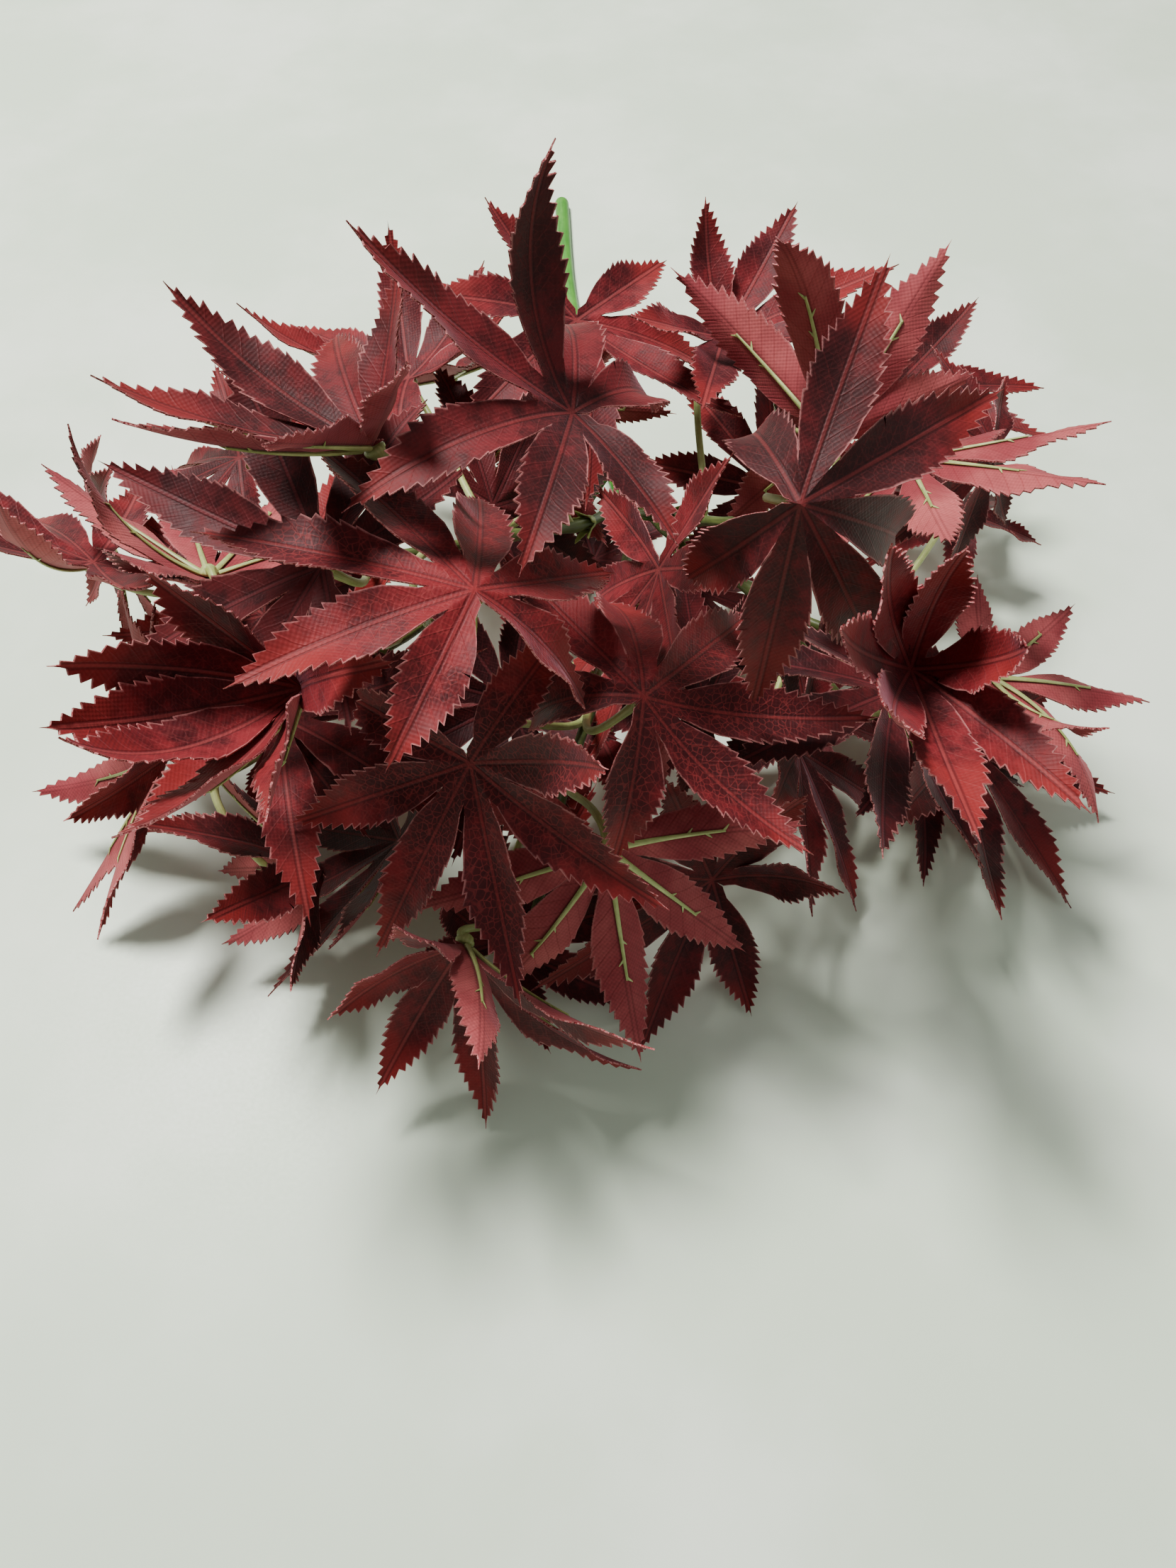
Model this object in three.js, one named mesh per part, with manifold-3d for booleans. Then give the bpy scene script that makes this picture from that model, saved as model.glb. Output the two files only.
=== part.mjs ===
// An artificial Japanese-maple spray lying on a flat surface.
// One thick coated stem is the handle. Five coated wire branches leave its upper end and fan out low over
// the surface. Every leaf is a cloth blade with seven narrow lobes, carried on a moulded plastic frame:
// a round boss, five ribs that lie behind the blade, and the petiole that plugs onto a branch.
//
// Millimetres and degrees. +X is the right side of the spray, +Y runs from the leaf heads to the end of the
// handle, +Z is up. The origin is under the middle of the whole spray, on the surface that it lies on.

import * as THREE from "three";
import { mergeVertices } from "three/addons/utils/BufferGeometryUtils.js";
import Module from "manifold-3d";

const wasm = await Module();
wasm.setup();

// Stems: radius at the root end and at the far end of each
const MAIN_STEM_RADII = [2.9, 2.3];
const BRANCH_RADII = [1.5, 1.1];
const PETIOLE_RADII = [0.95, 1.05];
const RIB_RADII = [0.8, 0.35];
const BOSS_RADIUS = 2.4;
const BOSS_DEPTH = 1.9;
const BOSS_TAPER = 0.7;
const JOINT_GAP = 0.3;

// Cloth blade. Lobe lengths, widths and stations are shares of the leaf's size or of the lobe's length
const CLOTH_THICKNESS = 0.8;
const LOBE_ANGLES = [-130, -84, -42, 0, 42, 84, 130];
const LOBE_LENGTHS = [0.68, 0.86, 0.97, 1.0, 0.97, 0.86, 0.68];
const LOBE_HALF_WIDTH = 0.125;
const WIDTH_RISE = 1.5;
const WIDTH_FALL = 1.6;
const FOLD_ANGLE = 20;
const NOTCH = 0.15;
const BLADE_STATIONS = [NOTCH, 0.42, 0.64, 0.84];
const SINUS = 0.05;
const WIDTH_FOLLOWS_LENGTH = 0.25;
const LEAST_BEND = 0.1;

// Moulded frame
const RIBBED_LOBES = [1, 2, 3, 4, 5];
const RIB_SPAN = [0.05, 0.32, 0.6];
const RIB_DROP = 1.5;

// Petiole: how it leaves the boss and how it comes down onto its branch
const PETIOLE_LEAVES = { upright: { away: 0.75, back: 0.65 }, rolledOver: { away: 1.2, back: 0.15 } };
const PETIOLE_START_PULL = 0.35;
const PETIOLE_END_PULL = 0.25;
const PETIOLE_STEPS = 7;

// Facets round each round section
const MAIN_STEM_SIDES = 12;
const BRANCH_SIDES = 8;
const PETIOLE_SIDES = 6;
const RIB_SIDES = 3;
const BOSS_SIDES = 7;

// Colours of the three finishes
const STEM_GREEN = { color: 0x5fa02c, roughness: 0.5, metalness: 0 };
const BRANCH_GREEN = { color: 0x4d6128, roughness: 0.55, metalness: 0 };
const FRAME_GREEN = { color: 0x9aa85a, roughness: 0.5, metalness: 0 };
const CLOTH_RED = { color: 0x6e1a22, roughness: 0.75, metalness: 0 };

// Middle line of the main stem, from the end of the handle to the crown where the last branch leaves
const MAIN_STEM_STOPS = [
  [-11, 474, 2.9], [-8, 420, 2.9], [-2, 370, 4], [4, 320, 12], [10, 280, 24], [14, 245, 38],
];
const MAIN_STEM_STEPS = 14;
const BRANCH_STEPS = 12;

// Each branch: the stops of its middle line, and its leaves from the crown outwards.
// A leaf has: at, where its petiole joins the branch (0 to 1 along it); hub, the middle of the blade; facing,
// the bearing that its face looks to (0 is -Y, 90 is +X) and how far it is tipped over from level; spin, how
// far its middle lobe is turned from pointing downhill; size, its middle lobe's length; cup, how steeply the
// lobes leave the hub; and bends, how far each lobe curls, from one basal lobe round to the other.
const BRANCHES = [
  {
    name: "branch_low_left",
    stops: [[8, 296, 20], [-10, 250, 34], [-48, 205, 44], [-76, 174, 46], [-90, 158, 46]],
    leaves: [
      { at: 0.5, hub: [-56, 142, 102], facing: [-40, 50], spin: 0,
        size: 57, cup: 50, bends: [0, 40, 60, 70, 35, 0, -60] },
      { at: 0.76, hub: [-88, 189, 82], facing: [-10, 145], spin: -35,
        size: 53, cup: -20, bends: [0, -60, -5, 0, -5, 15, 20] },
      { at: 0.8, hub: [-82, 199, 58], facing: [-70, 25], spin: -105,
        size: 53, cup: 0, bends: [0, -25, 15, -20, 50, 25, 0] },
      { at: 0.82, hub: [-102, 164, 48], facing: [95, 105], spin: 15,
        size: 56, cup: -25, bends: [-10, 20, 0, -35, 25, 10, 35] },
      { at: 1, hub: [-65, 140, 33], facing: [115, 90], spin: 130,
        size: 52, cup: -35, bends: [-50, 0, -35, 25, -15, -5, 15] },
    ],
  },
  {
    name: "branch_high_left",
    stops: [[11, 274, 28], [0, 240, 50], [-20, 215, 70], [-40, 200, 80], [-58, 192, 84]],
    leaves: [
      { at: 0.3, hub: [-3, 267, 95], facing: [75, 25], spin: -65,
        size: 54, cup: 10, bends: [15, -20, -45, -45, 15, -30, 0] },
      { at: 0.49, hub: [-48, 263, 80], facing: [195, 15], spin: 35,
        size: 49, cup: 10, bends: [35, 35, 65, -10, 40, -30, -45] },
      { at: 0.58, hub: [-3, 179, 138], facing: [80, 20], spin: -176,
        size: 52, cup: 15, bends: [-75, -70, 85, 20, -55, -25, -20] },
      { at: 0.7, hub: [-20, 142, 130], facing: [95, 25], spin: 120,
        size: 54, cup: -15, bends: [-35, 0, -15, -5, -10, -20, -25] },
      { at: 0.84, hub: [-53, 165, 112], facing: [-40, 25], spin: -80,
        size: 54, cup: 0, bends: [20, -30, 35, 25, -20, -20, 0] },
      { at: 0.88, hub: [-120, 201, 75], facing: [150, 30], spin: 155,
        size: 53, cup: 5, bends: [30, -30, 35, 30, 60, 25, 5] },
      { at: 1, hub: [-41, 176, 133], facing: [-115, 30], spin: 35,
        size: 51, cup: 30, bends: [10, -35, 50, 30, 25, 0, 0] },
    ],
  },
  {
    name: "branch_front",
    stops: [[13, 250, 36], [8, 215, 46], [2, 180, 52], [-6, 150, 50], [-12, 124, 40]],
    leaves: [
      { at: 0.42, hub: [11, 142, 99], facing: [50, 25], spin: 85,
        size: 55, cup: -20, bends: [-35, 50, 50, -10, -50, 0, -90] },
      { at: 0.55, hub: [-24, 135, 86], facing: [-30, 50], spin: 35,
        size: 52, cup: 5, bends: [0, 5, -5, 0, -20, 45, -25] },
      { at: 0.67, hub: [-49, 155, 20], facing: [-95, 45], spin: 65,
        size: 51, cup: 15, bends: [0, 5, 10, 5, 20, 0, 0] },
      { at: 0.7, hub: [4, 125, 68], facing: [-150, 140], spin: 10,
        size: 53, cup: 15, bends: [5, -75, 5, -5, 40, 25, 35] },
      { at: 0.87, hub: [31, 141, 25], facing: [10, 65], spin: -120,
        size: 55, cup: 20, bends: [45, 20, 10, -5, 0, 15, 10] },
      { at: 1, hub: [-28, 114, 44], facing: [-20, 95], spin: 60,
        size: 53, cup: 25, bends: [35, 45, 20, -35, -25, 35, -15] },
    ],
  },
  {
    name: "branch_high_right",
    stops: [[12, 262, 32], [22, 240, 52], [34, 222, 68], [44, 208, 80], [52, 200, 90]],
    leaves: [
      { at: 0.4, hub: [35, 264, 92], facing: [90, 10], spin: -20,
        size: 52, cup: 20, bends: [5, -15, 0, 15, 0, 10, 40] },
      { at: 0.55, hub: [17, 195, 79], facing: [-85, 60], spin: 55,
        size: 52, cup: 5, bends: [20, -25, 0, 5, 0, 0, 0] },
      { at: 0.7, hub: [77, 220, 90], facing: [35, 145], spin: -145,
        size: 53, cup: 5, bends: [10, 0, 5, 0, 5, 10, 0] },
      { at: 0.85, hub: [56, 216, 100], facing: [160, 105], spin: 115,
        size: 58, cup: 30, bends: [75, -15, 85, -15, -90, 5, 20] },
      { at: 1, hub: [37, 153, 140], facing: [-5, 45], spin: 80,
        size: 55, cup: -30, bends: [-40, -5, -40, -65, 0, 35, -70] },
    ],
  },
  {
    name: "branch_low_right",
    stops: [[9, 288, 22], [26, 250, 34], [54, 215, 42], [76, 200, 44], [90, 192, 44]],
    leaves: [
      { at: 0.5, hub: [53, 170, 40], facing: [75, 55], spin: 15,
        size: 50, cup: 5, bends: [10, 0, -10, 0, 0, 0, 0] },
      { at: 0.62, hub: [65, 149, 99], facing: [10, 30], spin: -55,
        size: 54, cup: 45, bends: [35, 30, 25, 35, 5, -20, 60] },
      { at: 0.75, hub: [102, 185, 23], facing: [65, 35], spin: -70,
        size: 55, cup: 10, bends: [-10, 0, 0, 10, -5, 15, 0] },
      { at: 0.94, hub: [97, 177, 60], facing: [-50, 160], spin: 80,
        size: 46, cup: -10, bends: [-20, -10, 15, 65, -35, -25, 15] },
    ],
  },
];

const TURN = Math.PI / 180;

function vector(coordinates) {
  return new THREE.Vector3(...coordinates);
}

function smoothCurve(stops) {
  return new THREE.CatmullRomCurve3(stops.map(vector), false, "catmullrom", 0.5);
}

// ---------------------------------------------------------------------------------------------------------
// Solids

function solidFrom(positions, triangles) {
  const geometry = new THREE.BufferGeometry();
  const numbers = positions.flatMap((position) => position.toArray());
  geometry.setAttribute("position", new THREE.Float32BufferAttribute(numbers, 3));
  geometry.setIndex(triangles.flat());
  return geometry;
}

// A round bar that follows a curve from one parameter to another, its radius changing evenly on the way.
function taperedBar(curve, radii, sides, parameters) {
  const positions = [];
  const triangles = [];
  const last = parameters.length - 1;
  let across = null;
  parameters.forEach((parameter, ring) => {
    const centre = curve.getPoint(parameter);
    const along = curve.getTangent(parameter);
    across = across ?? new THREE.Vector3(along.z, along.x, along.y);
    across = across.clone().addScaledVector(along, -across.dot(along)).normalize();
    const lift = new THREE.Vector3().crossVectors(along, across);
    const radius = THREE.MathUtils.lerp(radii[0], radii[1], ring / last);
    for (let side = 0; side < sides; side += 1) {
      const turn = (side / sides) * 2 * Math.PI;
      const corner = centre.clone();
      corner.addScaledVector(across, radius * Math.cos(turn));
      corner.addScaledVector(lift, radius * Math.sin(turn));
      positions.push(corner);
    }
  });
  for (let ring = 0; ring < last; ring += 1) {
    for (let side = 0; side < sides; side += 1) {
      const next = (side + 1) % sides;
      const [a, b] = [ring * sides + side, ring * sides + next];
      const [c, d] = [a + sides, b + sides];
      triangles.push([a, b, d], [a, d, c]);
    }
  }
  for (let side = 1; side < sides - 1; side += 1) {
    triangles.push([0, side + 1, side]);
    triangles.push([last * sides, last * sides + side, last * sides + side + 1]);
  }
  return solidFrom(positions, triangles);
}

function evenSteps(count, start = 0, end = 1) {
  return Array.from({ length: count + 1 }, (unused, step) => start + ((end - start) * step) / count);
}

function toManifold(geometry) {
  const bare = geometry.clone();
  bare.deleteAttribute("normal");
  bare.deleteAttribute("uv");
  const merged = mergeVertices(bare, 1e-5);
  const mesh = new wasm.Mesh({
    numProp: 3,
    vertProperties: Float32Array.from(merged.attributes.position.array),
    triVerts: Uint32Array.from(merged.index.array),
  });
  return new wasm.Manifold(mesh);
}

function toGeometry(manifold) {
  const mesh = manifold.getMesh();
  const geometry = new THREE.BufferGeometry();
  geometry.setAttribute("position", new THREE.BufferAttribute(Float32Array.from(mesh.vertProperties), 3));
  geometry.setIndex(new THREE.BufferAttribute(Uint32Array.from(mesh.triVerts), 1));
  return geometry;
}

function largestPiece(manifold) {
  return manifold.decompose().reduce((best, piece) => (piece.volume() > best.volume() ? piece : best));
}

// ---------------------------------------------------------------------------------------------------------
// Leaf geometry

// The middle lobe's direction, the direction 90 degrees round from it, and the way that the face looks.
function leafAxes(leaf) {
  const [bearing, tilt] = leaf.facing.map((angle) => angle * TURN);
  const spin = leaf.spin * TURN;
  const level = new THREE.Vector3(Math.sin(bearing), -Math.cos(bearing), 0);
  const up = new THREE.Vector3(0, 0, 1);
  const face = up.clone().multiplyScalar(Math.cos(tilt)).addScaledVector(level, Math.sin(tilt));
  const downhill = level.clone().multiplyScalar(Math.cos(tilt)).addScaledVector(up, -Math.sin(tilt));
  const crosswise = new THREE.Vector3().crossVectors(face, downhill);
  const middle = downhill.multiplyScalar(Math.cos(spin)).addScaledVector(crosswise, Math.sin(spin));
  const side = new THREE.Vector3().crossVectors(face, middle);
  return { middle, side, face };
}

function halfWidth(t) {
  const peak = WIDTH_RISE / (WIDTH_RISE + WIDTH_FALL);
  const highest = peak ** WIDTH_RISE * (1 - peak) ** WIDTH_FALL;
  return (LOBE_HALF_WIDTH * t ** WIDTH_RISE * (1 - t) ** WIDTH_FALL) / highest;
}

// A point of a lobe: t runs from the hub to the tip, and v from -1 at one edge, over the midrib, to 1 at
// the other.
// The lobe leaves the hub at the leaf's cup angle and curls by its own bend along an arc of a circle.
function lobePoint(leaf, lobe, t, v, drop = 0) {
  const { middle, side, face } = leafAxes(leaf);
  const length = leaf.size * LOBE_LENGTHS[lobe];
  const turn = LOBE_ANGLES[lobe] * TURN;
  const cup = leaf.cup * TURN;
  const bend = (leaf.bends[lobe] || LEAST_BEND) * TURN;
  const reach = (length * (Math.sin(cup + bend * t) - Math.sin(cup))) / bend;
  const rise = (length * (Math.cos(cup) - Math.cos(cup + bend * t))) / bend;
  const slope = cup + bend * t;
  const outward = middle.clone().multiplyScalar(Math.cos(turn)).addScaledVector(side, Math.sin(turn));
  const across = side.clone().multiplyScalar(Math.cos(turn)).addScaledVector(middle, -Math.sin(turn));
  const normal = face.clone().multiplyScalar(Math.cos(slope)).addScaledVector(outward, -Math.sin(slope));
  const narrowing = 1 - WIDTH_FOLLOWS_LENGTH * (1 - LOBE_LENGTHS[lobe]);
  const width = halfWidth(t) * leaf.size * narrowing;
  const point = vector(leaf.hub).addScaledVector(outward, reach).addScaledVector(face, rise);
  point.addScaledVector(across, v * width * Math.cos(FOLD_ANGLE * TURN));
  point.addScaledVector(normal, Math.abs(v) * width * Math.sin(FOLD_ANGLE * TURN) - drop);
  return { point, normal };
}

// ---------------------------------------------------------------------------------------------------------
// Cloth blade: a thin closed sheet, its outline walked lobe by lobe round the hub

function clothBlade(leaf) {
  const sheet = [];
  const triangles = [];
  const outline = [];
  const addPoint = (place) => sheet.push(place) - 1;
  const { face, middle } = leafAxes(leaf);

  const hub = addPoint({ point: vector(leaf.hub), normal: face });
  const sinusPoint = vector(leaf.hub).addScaledVector(middle, -SINUS * leaf.size);
  const sinus = addPoint({ point: sinusPoint, normal: face });

  // Neighbouring lobes meet in a notch, half way between their own edges
  const notches = LOBE_ANGLES.slice(1).map((unused, lobe) => {
    const one = lobePoint(leaf, lobe, NOTCH, 1);
    const other = lobePoint(leaf, lobe + 1, NOTCH, -1);
    const point = one.point.add(other.point).multiplyScalar(0.5);
    return addPoint({ point, normal: one.normal.add(other.normal).normalize() });
  });

  const rim = [sinus];
  const lastLobe = LOBE_ANGLES.length - 1;
  LOBE_ANGLES.forEach((unused, lobe) => {
    const rows = BLADE_STATIONS.map((t, station) => {
      const ridge = addPoint(lobePoint(leaf, lobe, t, 0));
      const sharedStart = station === 0 && lobe > 0;
      const sharedEnd = station === 0 && lobe < lastLobe;
      const start = sharedStart ? notches[lobe - 1] : addPoint(lobePoint(leaf, lobe, t, -1));
      const end = sharedEnd ? notches[lobe] : addPoint(lobePoint(leaf, lobe, t, 1));
      return [start, ridge, end];
    });
    const tip = addPoint(lobePoint(leaf, lobe, 1, 0));
    rows.slice(1).forEach((row, station) => {
      const before = rows[station];
      for (const column of [0, 1]) {
        triangles.push([before[column], row[column], row[column + 1]]);
        triangles.push([before[column], row[column + 1], before[column + 1]]);
      }
    });
    const outermost = rows.at(-1);
    triangles.push([outermost[0], tip, outermost[1]], [outermost[1], tip, outermost[2]]);
    outline.push(...rows.map((row) => row[0]), tip, ...rows.map((row) => row[2]).reverse());
    rim.push(rows[0][0], rows[0][1]);
    if (lobe === lastLobe) rim.push(rows[0][2]);
  });
  rim.forEach((start, index) => triangles.push([hub, start, rim[(index + 1) % rim.length]]));
  outline.push(sinus);
  return thicken(sheet, triangles, outline.filter((entry, index) => entry !== outline[index - 1]));
}

function thicken(sheet, triangles, outline) {
  const count = sheet.length;
  const half = CLOTH_THICKNESS / 2;
  const upper = sheet.map(({ point, normal }) => point.clone().addScaledVector(normal, half));
  const lower = sheet.map(({ point, normal }) => point.clone().addScaledVector(normal, -half));
  const faces = [...triangles, ...triangles.map(([a, b, c]) => [a + count, c + count, b + count])];
  outline.forEach((start, index) => {
    const end = outline[(index + 1) % outline.length];
    faces.push([start + count, end + count, end], [start + count, end, start]);
  });
  return solidFrom([...upper, ...lower], faces);
}

// ---------------------------------------------------------------------------------------------------------
// Moulded frame: boss, ribs and petiole in one piece, cut back to a small gap from the stems it meets

function bossDrop(leaf) {
  const hollow = Math.max(0, Math.tan(-leaf.cup * TURN)) * BOSS_RADIUS;
  return CLOTH_THICKNESS / 2 + JOINT_GAP + hollow;
}

function boss(leaf) {
  const { face } = leafAxes(leaf);
  const top = vector(leaf.hub).addScaledVector(face, -bossDrop(leaf));
  const bottom = top.clone().addScaledVector(face, -BOSS_DEPTH);
  const axis = new THREE.LineCurve3(bottom, top);
  return taperedBar(axis, [BOSS_RADIUS * BOSS_TAPER, BOSS_RADIUS], BOSS_SIDES, [0, 1]);
}

function rib(leaf, lobe) {
  const path = new THREE.CatmullRomCurve3(RIB_SPAN.map((t) => lobePoint(leaf, lobe, t, 0, RIB_DROP).point));
  return taperedBar(path, RIB_RADII, RIB_SIDES, evenSteps(RIB_SPAN.length - 1));
}

function petioleCurve(leaf, branchCurve) {
  const { face, middle } = leafAxes(leaf);
  const start = vector(leaf.hub).addScaledVector(face, -bossDrop(leaf) - BOSS_DEPTH / 2);
  const end = branchCurve.getPoint(leaf.at);
  const length = start.distanceTo(end);
  const startPull = length * PETIOLE_START_PULL;
  const leave = start.clone();
  const { away, back } = leaf.facing[1] > 90 ? PETIOLE_LEAVES.rolledOver : PETIOLE_LEAVES.upright;
  leave.addScaledVector(middle, -away * startPull);
  leave.addScaledVector(face, -back * startPull);
  const arrive = end.clone().addScaledVector(branchCurve.getTangent(leaf.at), length * PETIOLE_END_PULL);
  return new THREE.CubicBezierCurve3(start, leave, arrive, end);
}

function leafFrame(leaf, branchCurve, clearance) {
  let frame = toManifold(boss(leaf));
  for (const lobe of RIBBED_LOBES) {
    frame = frame.add(toManifold(rib(leaf, lobe)));
  }
  const path = petioleCurve(leaf, branchCurve);
  const petiole = taperedBar(path, PETIOLE_RADII, PETIOLE_SIDES, evenSteps(PETIOLE_STEPS));
  frame = frame.add(toManifold(petiole));
  return toGeometry(largestPiece(frame.subtract(clearance)));
}

// ---------------------------------------------------------------------------------------------------------
// The spray

function named(name, geometry, finish) {
  const mesh = new THREE.Mesh(geometry, new THREE.MeshStandardMaterial(finish));
  mesh.name = name;
  return mesh;
}

// A stem's own solid, and a slightly fatter copy that other pieces are cut back by
function stem(stops, radii, sides, steps) {
  const curve = smoothCurve(stops);
  const solid = toManifold(taperedBar(curve, radii, sides, evenSteps(steps)));
  const fatRadii = radii.map((radius) => radius + JOINT_GAP);
  const room = toManifold(taperedBar(curve, fatRadii, sides, evenSteps(steps)));
  return { curve, solid, room };
}

const mainStem = stem(MAIN_STEM_STOPS, MAIN_STEM_RADII, MAIN_STEM_SIDES, MAIN_STEM_STEPS);
const handleEnd = new THREE.SphereGeometry(MAIN_STEM_RADII[0], MAIN_STEM_SIDES, MAIN_STEM_SIDES / 2);
handleEnd.translate(...MAIN_STEM_STOPS[0]);
const mainStemSolid = mainStem.solid.add(toManifold(handleEnd));

const spray = new THREE.Group();
spray.add(named("main_stem", toGeometry(mainStemSolid), STEM_GREEN));

let leafNumber = 0;
for (const { name, stops, leaves } of BRANCHES) {
  const branch = stem(stops, BRANCH_RADII, BRANCH_SIDES, BRANCH_STEPS);
  spray.add(named(name, toGeometry(largestPiece(branch.solid.subtract(mainStem.room))), BRANCH_GREEN));
  const clearance = branch.room.add(mainStem.room);
  for (const leaf of leaves) {
    leafNumber += 1;
    const label = String(leafNumber).padStart(2, "0");
    spray.add(named(`leaf_${label}`, clothBlade(leaf), CLOTH_RED));
    spray.add(named(`leaf_frame_${label}`, leafFrame(leaf, branch.curve, clearance), FRAME_GREEN));
  }
}

// Stand the spray on its surface, with the origin under its middle
const box = new THREE.Box3().setFromObject(spray, true);
const middle = box.getCenter(new THREE.Vector3());
spray.position.set(-middle.x, -middle.y, -box.min.z);

const part = new THREE.Group();
part.add(spray);

export default part;
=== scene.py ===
"""An artificial Japanese-maple spray: cloth leaves on moulded frames, and coated branches that join one stem.

Lengths in the plan are millimetres and angles are degrees, as in the part's own source. Everything is made
in the plan's frame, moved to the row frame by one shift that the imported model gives, and turned into metres.
"""

import math

import bpy
import numpy as np
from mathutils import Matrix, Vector


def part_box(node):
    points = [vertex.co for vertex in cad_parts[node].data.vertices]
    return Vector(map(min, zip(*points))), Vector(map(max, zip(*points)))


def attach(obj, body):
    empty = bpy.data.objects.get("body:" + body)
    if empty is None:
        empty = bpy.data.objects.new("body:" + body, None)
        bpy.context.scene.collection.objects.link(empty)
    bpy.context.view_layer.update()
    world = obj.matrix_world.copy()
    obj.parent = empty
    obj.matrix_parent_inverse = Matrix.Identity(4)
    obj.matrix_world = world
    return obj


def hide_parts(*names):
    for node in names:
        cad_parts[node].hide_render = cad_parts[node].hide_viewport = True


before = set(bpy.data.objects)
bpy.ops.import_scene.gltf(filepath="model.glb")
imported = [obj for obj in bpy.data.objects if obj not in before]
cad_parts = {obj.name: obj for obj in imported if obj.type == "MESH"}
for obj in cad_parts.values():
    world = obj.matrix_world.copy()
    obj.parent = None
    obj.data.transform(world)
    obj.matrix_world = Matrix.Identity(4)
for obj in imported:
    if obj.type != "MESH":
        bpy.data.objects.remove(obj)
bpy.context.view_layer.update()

MM = 0.001
TURN = math.pi / 180

# ---------------------------------------------------------------------------------------------------------
# Driving dimensions, the same as the part's own

MAIN_STEM_RADII = (2.9, 2.3)
BRANCH_RADII = (1.5, 1.1)
PETIOLE_RADII = (0.95, 1.05)
RIB_RADII = (0.8, 0.3)
BOSS_RADIUS = 2.3
BOSS_DEPTH = 1.9
JOINT_GAP = 0.3
CAD_CLOTH_THICKNESS = 0.8

LOBE_ANGLES = (-130, -84, -42, 0, 42, 84, 130)
LOBE_LENGTHS = (0.68, 0.86, 0.97, 1.0, 0.97, 0.86, 0.68)
LOBE_HALF_WIDTH = 0.125
WIDTH_RISE = 1.5
WIDTH_FALL = 1.6
FOLD = math.radians(20)
NOTCH = 0.15
CAD_STATIONS = (NOTCH, 0.42, 0.64, 0.84)
SINUS = 0.05
WIDTH_FOLLOWS_LENGTH = 0.25
LEAST_BEND = 0.1
RIBBED_LOBES = (1, 2, 3, 4, 5)
RIB_SPAN = (0.05, 0.6)
PETIOLE_LEAVES = {"upright": (0.75, 0.65), "rolled over": (1.2, 0.15)}
PETIOLE_START_PULL = 0.35
PETIOLE_END_PULL = 0.25

# Cloth as it really is: thinner than its solid, with saw teeth beyond the widest place, a little wavy
CLOTH_THICKNESS = 0.36
CREASE_SOFTNESS = 0.5
SMOOTH_ROWS = (0.2, 0.26, 0.33)
TEETH_START = 0.4
TEETH_END = 0.95
TEETH = 11
TOOTH_HEIGHT = 1.05
TOOTH_LEAN = 0.55
TOOTH_OUTSIDE = 0.6
TOOTH_INSIDE = 0.4
TOOTH_UNEVENNESS = 0.45
LEAN_UNEVENNESS = 0.4
TEETH_RISE, FIRST_TOOTH = 6, 0.45
TEETH_FALL, LAST_TOOTH = 5, 0.25
RUFFLE = 0.9
RUFFLE_WAVES = 1.4
RUFFLE_SIDE_LAG = 0.9
ACROSS = (-1.0, -0.72, -0.36, 0.0, 0.36, 0.72, 1.0)
BASE_ROWS = (0.03, 0.065, 0.105)
UV_SPAN = 100.0
USUAL_SIZE = 55
INNER_SEED = 100
PALM_EDGE = 2.5
PALM_EDGE_LIMIT = 0.95
FRONT, BACK, CUT = range(3)

# Frames, branches and handle, finer than their solids
RIB_STEPS = 16
RIB_FLATNESS = 0.75
RIB_SEAT = 0.8
RIB_SIDES = 8
BARBS = 3
BARBS_START = 0.66
BARBS_SPREAD = 0.32
BARB_REACH = 1.4
BARB_LEAN = 0.03
BARB_DROP = 0.25
BARB_RADII = (0.34, 0.26, 0.08)
BARB_FLATNESS = 0.6
BARB_SIDES = 6
BOSS_PROFILE = (0.35, 0.62, 0.74, 0.8, 0.95, 1.0, 0.96, 0.7)
BOSS_SIDES = 16
PETIOLE_STEPS = 30
PETIOLE_SIDES = 10
PETIOLE_SLIMNESS = 0.92
BOSS_FLARE = 0.35
BOSS_FLARE_LENGTH = 3.0
PLUG_SWELL = 0.3
PLUG_LENGTH = 5.0
SHADE_SHIFT = 40
BRANCH_STEPS = 70
BRANCH_SIDES = 14
NODE_SWELL = 0.45
NODE_LENGTH = 0.025
HANDLE_STEPS = 110
HANDLE_SIDES = 24
HANDLE_RINGS = (0.3, 0.52, 0.66)
HANDLE_RING_HEIGHT = 0.16
HANDLE_RING_LENGTH = 0.006
BRACTS = 6
BRACT_ROWS = 8
BRACT_LENGTH = 9.0
BRACT_WIDTH = 1.5
BRACT_FLARE = 2.6
BRACT_PLACE = 0.24
BRACT_THICKNESS = 0.3

# Cloth finish: spacings in millimetres
WEAVE_PITCH = 0.55
CREASE_LINE_GAP = 0.55
SIDE_VEIN_PITCH = 4.4
SIDE_VEIN_SLANT = 1.1
VEIN_CELL = 1.5
CLOTH_RELIEF = 0.22

# Floor, light and camera: lights as name, place, target, size in metres, watts and colour
FLOOR_REACH = 3.0
SOFTBOXES = (
    ("key_softbox", (-0.5, 0.45, 1.5), (0.0, 0.0, 0.05), 0.45, 59.0, (1.0, 0.99, 0.96)),
    ("fill_softbox", (1.1, -0.9, 1.1), (0.0, 0.0, 0.05), 1.2, 4.0, (0.97, 0.99, 1.0)),
)
ROOM_COLOUR = (0.93, 0.97, 0.93, 1.0)
ROOM_STRENGTH = 0.27
CAMERA_PLACE = (0, 0, 286)
CAMERA_DOWN = 57
CAMERA_SENSOR = 36.0
CAMERA_LENS = 27.1


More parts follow.
